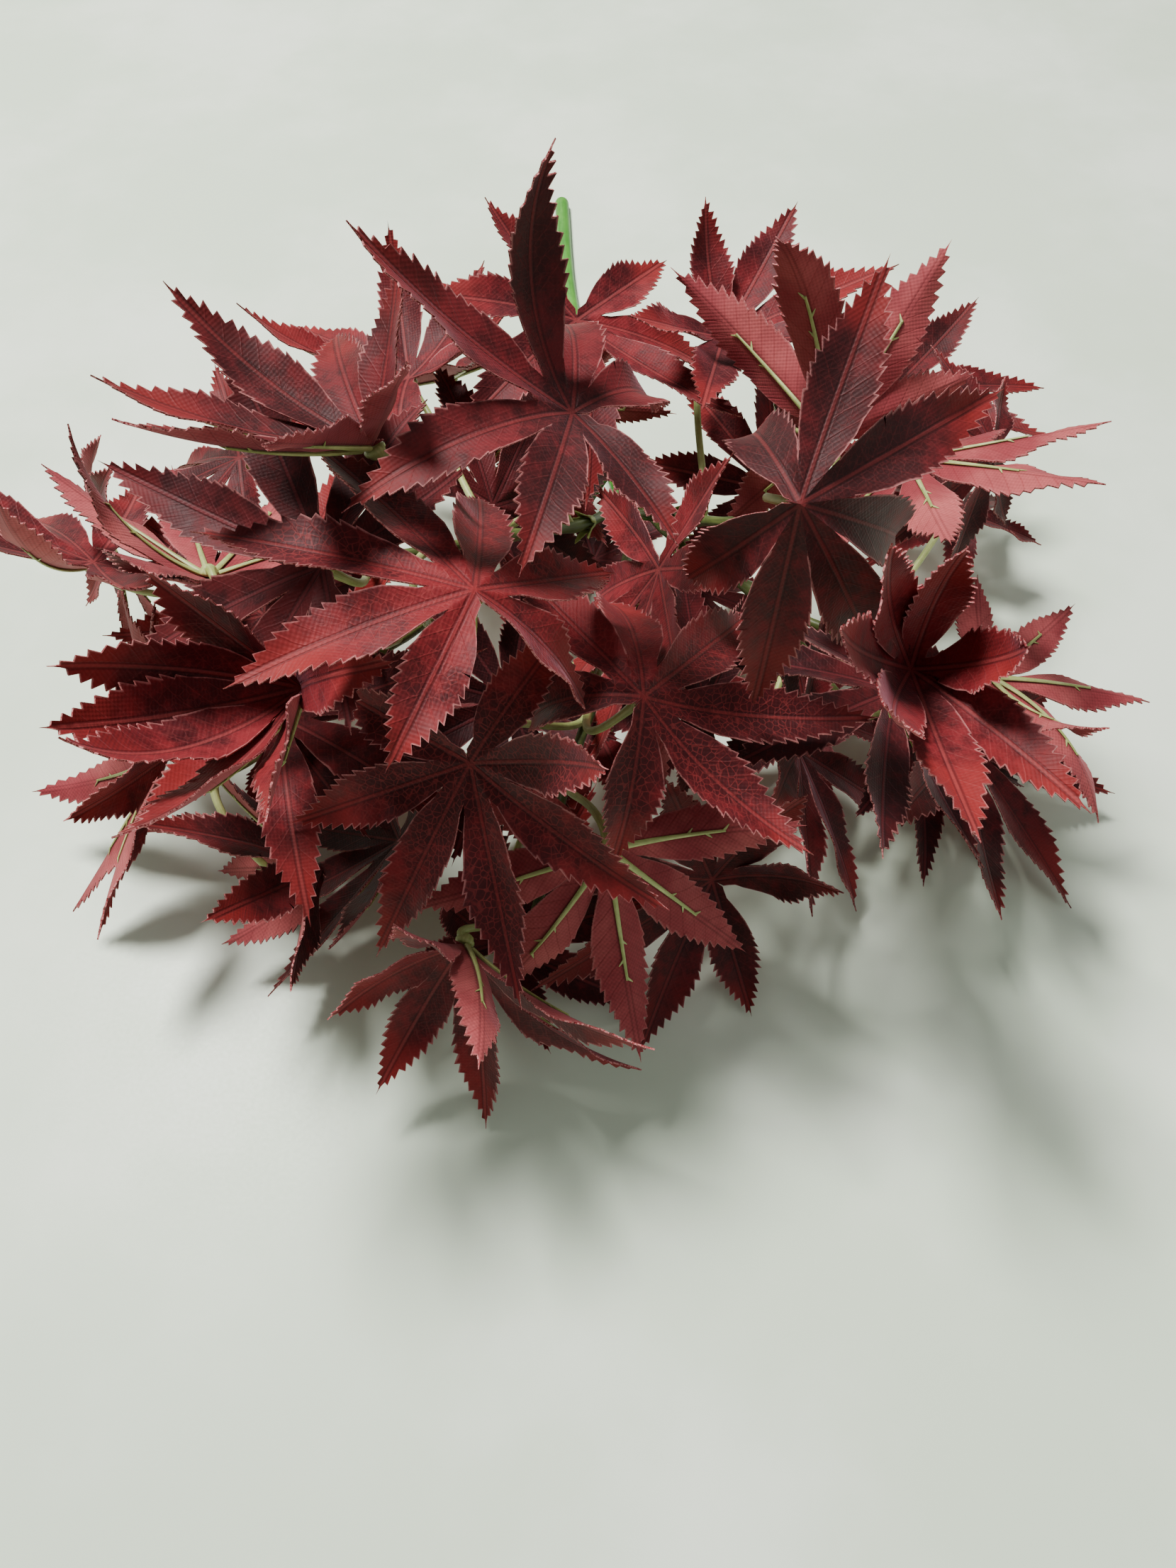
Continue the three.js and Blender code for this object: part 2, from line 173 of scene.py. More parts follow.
def maple(print_name, at, hub, facing, spin, size, cup, bends):
    """One leaf of the plan."""
    return {
        "print": print_name,
        "at": at,
        "hub": hub,
        "facing": facing,
        "spin": spin,
        "size": size,
        "cup": cup,
        "bends": bends,
    }


# Middle line of the main stem, from the end of the handle to the crown
MAIN_STEM_STOPS = (
    (-11, 474, 2.9),
    (-8, 420, 2.9),
    (-2, 370, 4),
    (4, 320, 12),
    (10, 280, 24),
    (14, 245, 38),
)

# Each branch: the stops of its middle line, and its leaves from the crown outwards. A leaf has its print,
# and: at, where its petiole joins the branch (0 to 1 along it); hub, the middle of the blade; facing, the
# bearing that its face looks to (0 is -Y, 90 is +X) and how far it is tipped over from level; spin, how far
# its middle lobe is turned from pointing downhill; size, its middle lobe's length; cup, how steeply the lobes
# leave the hub; and bends, how far each lobe curls, from one basal lobe round to the other. The inner leaves
# fill the inside of the spray, and have no solid of their own. The leaves' numbers were not chosen by hand:
# fitting and search programs made them, and cleared the overlaps between the leaves that have solids.
BRANCHES = (
    {
        "name": "branch_low_left",
        "stops": ((8, 296, 20), (-10, 250, 34), (-48, 205, 44), (-76, 174, 46), (-90, 158, 46)),
        "leaves": (
            maple("crimson", 0.5, (-56, 142, 102), (-40, 50), 0, 57, 50, (0, 40, 60, 70, 35, 0, -60)),
            maple("plum", 0.76, (-88, 189, 82), (-10, 145), -35, 53, -20, (0, -60, -5, 0, -5, 15, 20)),
            maple("crimson", 0.8, (-82, 199, 58), (-70, 25), -105, 53, 0, (0, -25, 15, -20, 50, 25, 0)),
            maple("crimson", 0.82, (-102, 164, 48), (95, 105), 15, 56, -25, (-10, 20, 0, -35, 25, 10, 35)),
            maple("burgundy", 1, (-65, 140, 33), (115, 90), 130, 52, -35, (-50, 0, -35, 25, -15, -5, 15)),
        ),
        "inner_leaves": (
            maple("crimson", 0.22, (-42, 300, 52), (-155, 35), 175, 54, 5, (0, 0, 0, 0, 0, 0, 0)),
            maple("plum", 0.25, (2, 266, 8), (190, 0), -35, 41, 15, (-20, -30, -10, -15, 35, -5, 5)),
            maple("plum", 0.25, (-12, 278, 57), (-145, 100), 5, 45, -15, (0, -30, -15, -60, 40, -10, -10)),
            maple("plum", 0.26, (-26, 238, 58), (-315, 45), 75, 54, -5, (25, 15, -25, -25, 0, -30, -45)),
            maple("burgundy", 0.35, (-91, 239, 74), (-120, 10),
                  0, 41, -10, (-5, -15, 40, -35, -5, -20, -25)),
            maple("burgundy", 0.61, (-134, 237, 53), (-60, 85), 25, 44, 0, (-40, -10, 30, -35, 20, 5, -25)),
            maple("crimson", 0.79, (-71, 161, 66), (-55, 0), 110, 54, 15, (-20, 10, -55, -30, 10, 25, -25)),
            maple("burgundy", 0.96, (-80, 180, 35), (-105, 0),
                  -130, 45, -10, (20, -5, -25, 5, 25, -5, -10)),
        ),
    },
    {
        "name": "branch_high_left",
        "stops": ((11, 274, 28), (0, 240, 50), (-20, 215, 70), (-40, 200, 80), (-58, 192, 84)),
        "leaves": (
            maple("crimson", 0.3, (-3, 267, 95), (75, 25), -65, 54, 10, (15, -20, -45, -45, 15, -30, 0)),
            maple("crimson", 0.49, (-48, 263, 80), (195, 15), 35, 49, 10, (35, 35, 65, -10, 40, -30, -45)),
            maple("burgundy", 0.58, (-3, 179, 138), (80, 20),
                  -176, 52, 15, (-75, -70, 85, 20, -55, -25, -20)),
            maple("veined", 0.7, (-20, 142, 130), (95, 25), 120, 54, -15, (-35, 0, -15, -5, -10, -20, -25)),
            maple("plum", 0.84, (-53, 165, 112), (-40, 25), -80, 54, 0, (20, -30, 35, 25, -20, -20, 0)),
            maple("crimson", 0.88, (-120, 201, 75), (150, 30), 155, 53, 5, (30, -30, 35, 30, 60, 25, 5)),
            maple("burgundy", 1, (-41, 176, 133), (-115, 30), 35, 51, 30, (10, -35, 50, 30, 25, 0, 0)),
        ),
        "inner_leaves": (
        ),
    },
    {
        "name": "branch_front",
        "stops": ((13, 250, 36), (8, 215, 46), (2, 180, 52), (-6, 150, 50), (-12, 124, 40)),
        "leaves": (
            maple("veined", 0.42, (11, 142, 99), (50, 25), 85, 55, -20, (-35, 50, 50, -10, -50, 0, -90)),
            maple("veined", 0.55, (-24, 135, 86), (-30, 50), 35, 52, 5, (0, 5, -5, 0, -20, 45, -25)),
            maple("burgundy", 0.67, (-49, 155, 20), (-95, 45), 65, 51, 15, (0, 5, 10, 5, 20, 0, 0)),
            maple("burgundy", 0.7, (4, 125, 68), (-150, 140), 10, 53, 15, (5, -75, 5, -5, 40, 25, 35)),
            maple("burgundy", 0.87, (31, 141, 25), (10, 65), -120, 55, 20, (45, 20, 10, -5, 0, 15, 10)),
            maple("crimson", 1, (-28, 114, 44), (-20, 95), 60, 53, 25, (35, 45, 20, -35, -25, 35, -15)),
        ),
        "inner_leaves": (
            maple("crimson", 0.17, (2, 187, 26), (-35, 20), -70, 50, 10, (40, 0, 15, 0, 0, -10, 25)),
            maple("plum", 0.21, (30, 183, 41), (40, 45), -160, 44, -5, (0, -25, 0, -25, -35, 0, -50)),
            maple("burgundy", 0.27, (-23, 129, 13), (30, 35), 125, 48, 20, (30, -15, 5, -15, 5, 70, 15)),
            maple("plum", 0.34, (-20, 181, 46), (5, 30), -65, 46, 10, (20, -10, 45, 25, -15, -45, 10)),
        ),
    },
    {
        "name": "branch_high_right",
        "stops": ((12, 262, 32), (22, 240, 52), (34, 222, 68), (44, 208, 80), (52, 200, 90)),
        "leaves": (
            maple("crimson", 0.4, (35, 264, 92), (90, 10), -20, 52, 20, (5, -15, 0, 15, 0, 10, 40)),
            maple("crimson", 0.55, (17, 195, 79), (-85, 60), 55, 52, 5, (20, -25, 0, 5, 0, 0, 0)),
            maple("crimson", 0.7, (77, 220, 90), (35, 145), -145, 53, 5, (10, 0, 5, 0, 5, 10, 0)),
            maple("crimson", 0.85, (56, 216, 100), (160, 105), 115, 58, 30, (75, -15, 85, -15, -90, 5, 20)),
            maple("burgundy", 1, (37, 153, 140), (-5, 45), 80, 55, -30, (-40, -5, -40, -65, 0, 35, -70)),
        ),
        "inner_leaves": (
        ),
    },
    {
        "name": "branch_low_right",
        "stops": ((9, 288, 22), (26, 250, 34), (54, 215, 42), (76, 200, 44), (90, 192, 44)),
        "leaves": (
            maple("burgundy", 0.5, (53, 170, 40), (75, 55), 15, 50, 5, (10, 0, -10, 0, 0, 0, 0)),
            maple("crimson", 0.62, (65, 149, 99), (10, 30), -55, 54, 45, (35, 30, 25, 35, 5, -20, 60)),
            maple("burgundy", 0.75, (102, 185, 23), (65, 35), -70, 55, 10, (-10, 0, 0, 10, -5, 15, 0)),
            maple("crimson", 0.94, (97, 177, 60), (-50, 160),
                  80, 46, -10, (-20, -10, 15, 65, -35, -25, 15)),
        ),
        "inner_leaves": (
            maple("plum", 0.21, (33, 244, 18), (145, 0), -120, 37, -5, (-5, 15, 20, 25, 5, -35, 20)),
            maple("burgundy", 0.25, (92, 295, 51), (85, 10), -30, 51, 10, (-5, 15, -30, 10, -10, 20, -45)),
            maple("crimson", 0.43, (50, 241, 61), (25, 40), 155, 45, -10, (-15, 5, 0, -25, -10, -5, -5)),
            maple("plum", 0.43, (89, 184, 22), (85, 20), -40, 41, 0, (25, 0, -25, -30, -15, -30, 25)),
            maple("burgundy", 0.61, (111, 251, 65), (45, 55),
                  -115, 42, -25, (10, -15, -30, -5, -5, 10, 15)),
            maple("crimson", 0.7, (113, 265, 30), (130, 15),
                  90, 46, -10, (-5, -10, -5, -20, -10, -15, -15)),
            maple("plum", 0.86, (70, 165, 71), (105, 35), -160, 52, -15, (-35, -20, -20, -15, 15, 15, 15)),
            maple("burgundy", 0.97, (61, 198, 19), (70, 15), 160, 54, 5, (0, 15, -15, -15, -5, -5, 0)),
        ),
    },
)


# ---------------------------------------------------------------------------------------------------------
# Small maths


def unit(vector):
    return vector / np.linalg.norm(vector, axis=-1, keepdims=True)


def chance(*keys):
    """A fixed number from 0 to 1 for these whole numbers, the same on every run."""
    mixed = 374761393
    for key in keys:
        mixed = (mixed ^ (int(key) + 668265263)) * 2246822519 & 0xFFFFFFFF
        mixed ^= mixed >> 13
    return (mixed * 3266489917 & 0xFFFFFFFF) / 0xFFFFFFFF


def swing(*keys):
    """The same, from -1 to 1."""
    return 2 * chance(*keys) - 1


def smooth_line(stops, parameters):
    """Points of a Catmull-Rom curve through the stops, its parameter running evenly from stop to stop."""
    stops = np.array(stops, float)
    ends = [2 * stops[0] - stops[1], *stops, 2 * stops[-1] - stops[-2]]
    points = []
    for parameter in parameters:
        place = min(max(parameter, 0.0), 1.0) * (len(stops) - 1)
        index = min(int(place), len(stops) - 2)
        t = place - index
        a, b, c, d = ends[index : index + 4]
        square = (2 * a - 5 * b + 4 * c - d) * t * t
        cube = (3 * b - a - 3 * c + d) * t**3
        points.append((2 * b + (c - a) * t + square + cube) / 2)
    return np.array(points)


def line_direction(stops, parameter):
    near, far = smooth_line(stops, (parameter - 0.01, parameter + 0.01))
    if parameter > 0.99:
        near, far = smooth_line(stops, (parameter - 0.02, parameter))
    return unit(far - near)


def bezier(a, b, c, d, count):
    t = np.linspace(0, 1, count)[:, None]
    return (1 - t) ** 3 * a + 3 * (1 - t) ** 2 * t * b + 3 * (1 - t) * t**2 * c + t**3 * d


# ---------------------------------------------------------------------------------------------------------
# Leaf geometry, the same formulas as the part's own


def leaf_axes(leaf):
    """The middle lobe's direction, the direction 90 degrees round from it, and the way the face looks."""
    bearing, tilt = (angle * TURN for angle in leaf["facing"])
    spin = leaf["spin"] * TURN
    level = np.array((math.sin(bearing), -math.cos(bearing), 0.0))
    up = np.array((0.0, 0.0, 1.0))
    face = up * math.cos(tilt) + level * math.sin(tilt)
    downhill = level * math.cos(tilt) - up * math.sin(tilt)
    middle = downhill * math.cos(spin) + np.cross(face, downhill) * math.sin(spin)
    return middle, np.cross(face, middle), face


def half_width(t):
    peak = WIDTH_RISE / (WIDTH_RISE + WIDTH_FALL)
    highest = peak**WIDTH_RISE * (1 - peak) ** WIDTH_FALL
    return LOBE_HALF_WIDTH * t**WIDTH_RISE * (1 - t) ** WIDTH_FALL / highest


def lobe_width(leaf, lobe, t):
    narrowing = 1 - WIDTH_FOLLOWS_LENGTH * (1 - LOBE_LENGTHS[lobe])
    return half_width(t) * leaf["size"] * narrowing


def lobe_point(leaf, lobe, t, offset=0.0, lift=0.0, crease=0.0):
    """A point of a lobe and the normal there: t from hub to tip, and offset in mm across the midrib."""
    middle, side, face = leaf_axes(leaf)
    length = leaf["size"] * LOBE_LENGTHS[lobe]
    turn = LOBE_ANGLES[lobe] * TURN
    cup = leaf["cup"] * TURN
    bend = (leaf["bends"][lobe] or LEAST_BEND) * TURN
    slope = cup + bend * t
    reach = length * (math.sin(slope) - math.sin(cup)) / bend
    rise = length * (math.cos(cup) - math.cos(slope)) / bend
    outward = middle * math.cos(turn) + side * math.sin(turn)
    across = side * math.cos(turn) - middle * math.sin(turn)
    normal = face * math.cos(slope) - outward * math.sin(slope)
    fold = math.hypot(offset, crease) - crease
    point = np.array(leaf["hub"], float) + outward * reach + face * rise
    point = point + across * offset * math.cos(FOLD) + normal * (fold * math.sin(FOLD) + lift)
    return point, normal


def cad_blade_corner(leaf):
    """The lowest corner of the blade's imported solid, in the plan's frame."""
    half = CAD_CLOTH_THICKNESS / 2
    points = []
    for lobe in range(len(LOBE_ANGLES)):
        for t in CAD_STATIONS + (1.0,):
            width = lobe_width(leaf, lobe, t)
            for offset in (-width, 0.0, width):
                point, normal = lobe_point(leaf, lobe, t, offset)
                points += [point + normal * half, point - normal * half]
    return np.min(points, axis=0)


# ---------------------------------------------------------------------------------------------------------
# Meshes


def mesh_piece(name, points, faces, materials, face_materials=None, uv_layers=None, sharp_angle=50):
    """One object from points in the plan's frame, faces, and UV layers with one pair for each corner."""
    mesh = bpy.data.meshes.new(name)
    mesh.from_pydata([tuple((point + plan_shift) * MM) for point in points], [], faces)
    for material in materials:
        mesh.materials.append(material)
    if face_materials is not None:
        mesh.polygons.foreach_set("material_index", face_materials)
    for layer_name, corners in (uv_layers or {}).items():
        layer = mesh.uv_layers.new(name=layer_name)
        layer.data.foreach_set("uv", np.asarray(corners, float).ravel())
    mesh.polygons.foreach_set("use_smooth", [True] * len(mesh.polygons))
    mesh.set_sharp_from_angle(angle=math.radians(sharp_angle))
    mesh.validate()
    piece = bpy.data.objects.new(name, mesh)
    bpy.context.scene.collection.objects.link(piece)
    return piece

# ---------------------------------------------------------------------------------------------------------
# Cloth blades


def outer_rows():
    """The rows of a lobe beyond the notch: where each lies, and whether a tooth ends its left or right."""
    pitch = (TEETH_END - TEETH_START) / TEETH
    rows = [(t, False, False) for t in SMOOTH_ROWS]
    for tooth in range(TEETH):
        start = TEETH_START + tooth * pitch
        rows.append((start, False, True))
        rows.append((start + pitch / 2, True, False))
    rows.append((TEETH_END, False, False))
    rows.append(((TEETH_END + 1) / 2, False, False))
    return rows


def cut_edge(leaf, number, lobe, t, side, at_tip, row):
    """How far the cut edge is from the midrib, and how far forward its point leans there."""
    width = lobe_width(leaf, lobe, t)
    if t < TEETH_START:
        return width, 0.0
    rise = min(1.0, (t - TEETH_START) * TEETH_RISE + FIRST_TOOTH)
    fade = rise * min(1.0, (1 - t) * TEETH_FALL + LAST_TOOTH)
    uneven = 1 + TOOTH_UNEVENNESS * swing(number, lobe, side, row)
    height = TOOTH_HEIGHT * leaf["size"] / USUAL_SIZE * fade * uneven
    if not at_tip:
        return max(width - height * TOOTH_INSIDE, width * 0.5), 0.0
    pitch = (TEETH_END - TEETH_START) / TEETH
    lean = pitch * TOOTH_LEAN * (1 + LEAN_UNEVENNESS * swing(row, lobe, number))
    return width + height * TOOTH_OUTSIDE, lean


class Blade:
    """The mesh of one leaf's cloth, built lobe by lobe round the hub.

    Every corner of every face carries three pairs of numbers for the materials: "cloth" is the place on
    the flat cut piece, "lobe" is the distance along and across the lobe, and "reach" is how far the corner
    is to the tip and how near to the cut edge, both from 0 to 1.
    """

    def __init__(self, leaf, number):
        self.leaf = leaf
        self.number = number
        self.points = []
        self.normals = []
        self.cloth = []
        self.faces = []
        self.shared = {}
        self.outline = []
        middle, _, face = leaf_axes(leaf)
        hub = np.array(leaf["hub"], float)
        gap = SINUS * leaf["size"]
        self.hub = self.add_point(hub, face, (0.0, 0.0))
        self.sinus = self.add_point(hub - middle * gap, face, (-gap, 0.0))

    def add_point(self, point, normal, cloth):
        self.points.append(point)
        self.normals.append(normal)
        self.cloth.append(cloth)
        return len(self.points) - 1

    def add_face(self, *corners):
        """A corner is a point number, the distance along and across, and the share to the tip and edge."""
        self.faces.append(corners)

    def place(self, lobe, t, offset, share):
        """One grid point, with a soft ruffle that grows towards the cut edge."""
        leaf = self.leaf
        phase = chance(self.number, lobe, 5) * 2 * math.pi
        waves = RUFFLE_WAVES + chance(self.number, lobe, 6)
        side = 1 if offset > 0 else -1
        wave = math.sin(phase + side * RUFFLE_SIDE_LAG + waves * 2 * math.pi * t)
        ruffle = RUFFLE * share**2 * wave * min(1.0, t * 2) * min(1.0, (1 - t) * 3)
        point, normal = lobe_point(leaf, lobe, t, offset, ruffle, CREASE_SOFTNESS)
        length = t * leaf["size"] * LOBE_LENGTHS[lobe]
        turn = LOBE_ANGLES[lobe] * TURN
        along = length * math.cos(turn) - offset * math.sin(turn)
        across = length * math.sin(turn) + offset * math.cos(turn)
        return point, normal, (along, across)

    def boundary(self, lobe, t, row):
        """The point between this lobe and the next, half way between where the two lobes put it."""
        if (lobe, row) not in self.shared:
            half = (LOBE_ANGLES[lobe + 1] - LOBE_ANGLES[lobe]) / 2 * TURN
            told = []
            for neighbour, sign in ((lobe, 1), (lobe + 1, -1)):
                reach = t * self.leaf["size"] * LOBE_LENGTHS[neighbour]
                told.append(self.place(neighbour, t, sign * reach * math.tan(half), 0.0))
            point, normal, cloth = (np.mean([place[part] for place in told], axis=0) for part in range(3))
            self.shared[lobe, row] = self.add_point(point, unit(normal), tuple(cloth))
        return self.shared[lobe, row]

    def base_row(self, lobe, t, row):
        """A row inside the palm, where the lobes are still joined edge to edge."""
        reach = t * self.leaf["size"] * LOBE_LENGTHS[lobe]
        corners = []
        for share in ACROSS:
            neighbour = lobe + (1 if share > 0 else -1)
            joined = 0 <= neighbour < len(LOBE_ANGLES)
            if joined:
                half = abs(LOBE_ANGLES[neighbour] - LOBE_ANGLES[lobe]) / 2 * TURN
                offset = share * reach * math.tan(half)
            else:
                free_edge = lobe_width(self.leaf, lobe, t) + PALM_EDGE * (1 - t / NOTCH)
                offset = share * min(free_edge, reach * PALM_EDGE_LIMIT)
            if joined and abs(share) == 1:
                point = self.boundary(min(lobe, neighbour), t, row)
            else:
                point = self.add_point(*self.place(lobe, t, offset, 0.0))
            edge = abs(share) if not joined else 0.0
            corners.append((point, reach, offset, t, edge))
        return corners

    def outer_row(self, lobe, t, left_tip, right_tip, row):
        left, left_lean = cut_edge(self.leaf, self.number, lobe, t, 0, left_tip, row)
        right, right_lean = cut_edge(self.leaf, self.number, lobe, t, 1, right_tip, row)
        width = lobe_width(self.leaf, lobe, t)
        length = self.leaf["size"] * LOBE_LENGTHS[lobe]
        corners = []
        for share in ACROSS:
            offset = share * min(width, left if share < 0 else right)
            place = t
            if share == -1:
                offset, place = -left, t + left_lean
            if share == 1:
                offset, place = right, t + right_lean
            point = self.add_point(*self.place(lobe, place, offset, abs(share)))
            corners.append((point, place * length, offset, place, abs(share)))
        return corners

    def build(self):
        last = len(LOBE_ANGLES) - 1
        notch_row = len(BASE_ROWS)
        self.outline = [self.sinus]
        for lobe, relative in enumerate(LOBE_LENGTHS):
            rows = [self.base_row(lobe, t, row) for row, t in enumerate(BASE_ROWS + (NOTCH,))]
            for row, (t, left_tip, right_tip) in enumerate(outer_rows()):
                rows.append(self.outer_row(lobe, t, left_tip, right_tip, row))
            for before, after in zip(rows, rows[1:]):
                for column in range(len(ACROSS) - 1):
                    self.add_face(before[column], after[column], after[column + 1], before[column + 1])
            length = self.leaf["size"] * relative
            tip = (self.add_point(*self.place(lobe, 1.0, 0.0, 0.0)), length, 0.0, 1.0, 1.0)
            hub = (self.hub, 0.0, 0.0, 0.0, 0.0)
            for column in range(len(ACROSS) - 1):
                self.add_face(rows[-1][column], tip, rows[-1][column + 1])
                self.add_face(hub, rows[0][column], rows[0][column + 1])
            left = [row[0][0] for row in rows[0 if lobe == 0 else notch_row :]]
            right = [row[-1][0] for row in rows[0 if lobe == last else notch_row :]]
            self.outline += left + [tip[0]] + right[::-1]
            if lobe == 0:
                self.add_face(hub, (self.sinus, 0.0, 0.0, 0.0, 1.0), rows[0][0])
            if lobe == last:
                self.add_face(hub, rows[0][-1], (self.sinus, 0.0, 0.0, 0.0, 1.0))
        outline = self.outline
        self.outline = [point for index, point in enumerate(outline) if point != outline[index - 1]]
        return self

    def thick_mesh(self):
        """Both sides of the cloth and its cut edge: points, faces, each face's side and the UV layers."""
        count = len(self.points)
        points = np.array(self.points)
        normals = np.array(self.normals) * CLOTH_THICKNESS / 2
        faces = []
        sides = []
        corners = []
        for face in self.faces:
            faces.append([corner[0] for corner in face])
            sides.append(FRONT)
            corners += face
        for face in self.faces:
            faces.append([corner[0] + count for corner in face[::-1]])
            sides.append(BACK)
            corners += face[::-1]
        for start, end in zip(self.outline, self.outline[1:] + self.outline[:1]):
            faces.append([start + count, end + count, end, start])
            sides.append(CUT)
            corners += [(point, 0.0, 0.0, 0.5, 1.0) for point in (start, end, end, start)]
        uv = {
            "cloth": [np.array(self.cloth[corner[0]]) / UV_SPAN for corner in corners],
            "lobe": [(corner[1] / UV_SPAN, corner[2] / UV_SPAN) for corner in corners],
            "reach": [(corner[3], corner[4]) for corner in corners],
        }
        return np.vstack((points + normals, points - normals)), faces, sides, uv


def make_blade(leaf, number, label):
    blade = Blade(leaf, number).build()
    points, faces, sides, uv = blade.thick_mesh()
    piece = mesh_piece(f"cloth_{label}", points, faces, leaf_materials(leaf["print"]), sides, uv)
    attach(piece, "root")
    return piece

# ---------------------------------------------------------------------------------------------------------
# Moulded frames, branches and the handle


def round_bar(centres, directions, radii, sides, flatness=None, roll=None):
    """Rings round a line of centres. A flat bar is squeezed by flatness along roll, the way it faces."""
    points = []
    across = roll if roll is not None else np.array((directions[0][2], directions[0][0], directions[0][1]))
    for ring, (centre, along) in enumerate(zip(centres, directions)):
        across = unit(across - along * np.dot(across, along))
        lift = np.cross(along, across)
        squeeze = 1.0 if flatness is None else flatness[ring]
        for side in range(sides):
            turn = side / sides * 2 * math.pi
            sideways = across * radii[ring] * math.cos(turn) * squeeze
            points.append(centre + sideways + lift * radii[ring] * math.sin(turn))
    return points


def ring_faces(rings, sides, first=0):
    faces = []
    for ring in range(rings - 1):
        for side in range(sides):
            start = first + ring * sides
            after = (side + 1) % sides
            faces.append([start + side, start + after, start + sides + after, start + sides + side])
    faces.append([first + side for side in reversed(range(sides))])
    faces.append([first + (rings - 1) * sides + side for side in range(sides)])
    return faces


class Moulding:
    """Several closed bars gathered into one mesh. The materials get the distance along each bar."""

    def __init__(self):
        self.points = []
        self.faces = []
        self.lengths = []
        self.turns = []

    def add_bar(self, centres, radii, sides, flatness=None, roll=None, start_length=0.0):
        centres = np.array(centres)
        directions = unit(np.gradient(centres, axis=0))
        first = len(self.points)
        self.points += round_bar(centres, directions, radii, sides, flatness, roll)
        self.faces += ring_faces(len(centres), sides, first)
        steps = np.linalg.norm(np.diff(centres, axis=0), axis=1)
        lengths = start_length + np.concatenate(([0.0], np.cumsum(steps)))
        self.lengths += [length for length in lengths for _ in range(sides)]
        self.turns += [side / sides for _ in lengths for side in range(sides)]

    def uv_layers(self):
        corners = []
        for face in self.faces:
            turns = [self.turns[point] for point in face]
            wraps = max(turns) - min(turns) > 0.5 and len(face) == 4
            corners += [
                (self.lengths[point] / UV_SPAN, turn + 1 if wraps and turn < 0.5 else turn)
                for point, turn in zip(face, turns)
            ]
        return {"bar": corners}


def barbed_rib(moulding, leaf, lobe):
    """A flattened rib against the back of the cloth, which tapers to a fine point and has small barbs."""
    _, _, face = leaf_axes(leaf)
    steps = np.linspace(RIB_SPAN[0], RIB_SPAN[1], RIB_STEPS)
    shares = np.linspace(0, 1, RIB_STEPS)
    radii = RIB_RADII[0] + (RIB_RADII[1] - RIB_RADII[0]) * shares**0.8
    places = [lobe_point(leaf, lobe, t) for t in steps]
    half_cloth = CLOTH_THICKNESS / 2
    drops = half_cloth + radii * RIB_FLATNESS * RIB_SEAT
    centres = [point - normal * drop for (point, normal), drop in zip(places, drops)]
    moulding.add_bar(centres, radii, RIB_SIDES, flatness=[RIB_FLATNESS] * RIB_STEPS, roll=places[0][1])
    for barb in range(BARBS):
        side = 1 if barb % 2 else -1
        t = RIB_SPAN[0] + (RIB_SPAN[1] - RIB_SPAN[0]) * (BARBS_START + BARBS_SPREAD * barb / (BARBS - 1))
        barb_line = []
        for share in (0.0, 0.5, 1.0):
            offset = side * BARB_REACH * share
            point, normal = lobe_point(leaf, lobe, t + BARB_LEAN * share, offset)
            barb_line.append(point - normal * (half_cloth + BARB_DROP))
        moulding.add_bar(barb_line, BARB_RADII, BARB_SIDES, flatness=[BARB_FLATNESS] * 3, roll=face)


def make_frame(leaf, label, branch_stops):
    moulding = Moulding()
    middle, _, face = leaf_axes(leaf)
    hub = np.array(leaf["hub"], float)
    hollow = max(0.0, math.tan(-leaf["cup"] * TURN)) * BOSS_RADIUS
    drop = CAD_CLOTH_THICKNESS / 2 + JOINT_GAP + hollow
    rise = drop - CLOTH_THICKNESS / 2
    boss_radii = [BOSS_RADIUS * share for share in BOSS_PROFILE]
    boss_heights = np.linspace(-BOSS_DEPTH - 0.2, rise - hollow, len(BOSS_PROFILE))
    moulding.add_bar([hub + face * (height - drop) for height in boss_heights], boss_radii, BOSS_SIDES)
    for lobe in RIBBED_LOBES:
        barbed_rib(moulding, leaf, lobe)

    start = hub - face * (drop + BOSS_DEPTH / 2)
    end = smooth_line(branch_stops, [leaf["at"]])[0]
    length = np.linalg.norm(start - end)
    away, back = PETIOLE_LEAVES["rolled over" if leaf["facing"][1] > 90 else "upright"]
    pull = length * PETIOLE_START_PULL
    leave = start - middle * away * pull - face * back * pull
    arrive = end + line_direction(branch_stops, leaf["at"]) * length * PETIOLE_END_PULL
    line = bezier(start, leave, arrive, end, PETIOLE_STEPS)
    shares = np.linspace(0, 1, PETIOLE_STEPS)
    radii = PETIOLE_RADII[0] + (PETIOLE_RADII[1] - PETIOLE_RADII[0]) * shares
    radii = radii * PETIOLE_SLIMNESS + BOSS_FLARE * np.exp(-((shares * length / BOSS_FLARE_LENGTH) ** 2))
    radii = radii + PLUG_SWELL * np.exp(-(((1 - shares) * length / PLUG_LENGTH) ** 2))
    moulding.add_bar(line, radii, PETIOLE_SIDES, start_length=leaf["at"] * SHADE_SHIFT)

    name = f"frame_of_{label}"
    piece = mesh_piece(name, moulding.points, moulding.faces, [frame_plastic], None, moulding.uv_layers())
    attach(piece, "root")
    return piece


